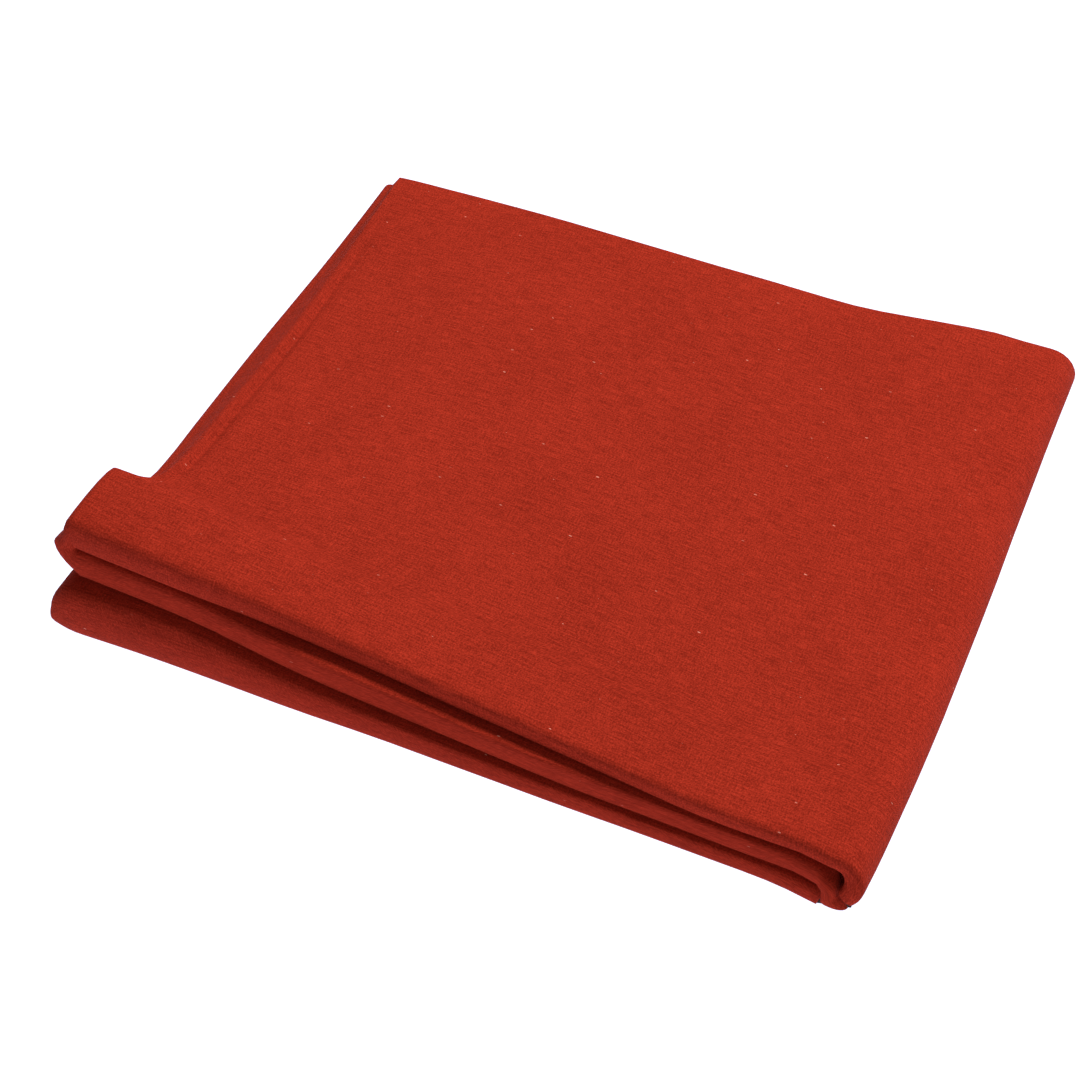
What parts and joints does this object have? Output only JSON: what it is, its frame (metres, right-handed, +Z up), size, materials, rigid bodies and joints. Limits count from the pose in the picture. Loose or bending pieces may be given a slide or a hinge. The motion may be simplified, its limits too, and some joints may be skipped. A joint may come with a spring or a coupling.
{
  "type": "folded turban length",
  "caption": "Plain rust-red cotton turban length, unwound and folded into a flat packet with rounded front folds and a wrapped right edge.",
  "frame": {"origin": "centre of the underside of the packet's box", "axes": "X along the front folds to the wrapped right edge, Y from the front folds to the open back, Z up"},
  "size_m": [0.3184, 0.2848, 0.0569],
  "materials": {
    "cotton": "plain-woven matt cotton, rust red"
  },
  "bodies": {
    "root": {"turban_cloth": "cotton"}
  },
  "joints": []
}
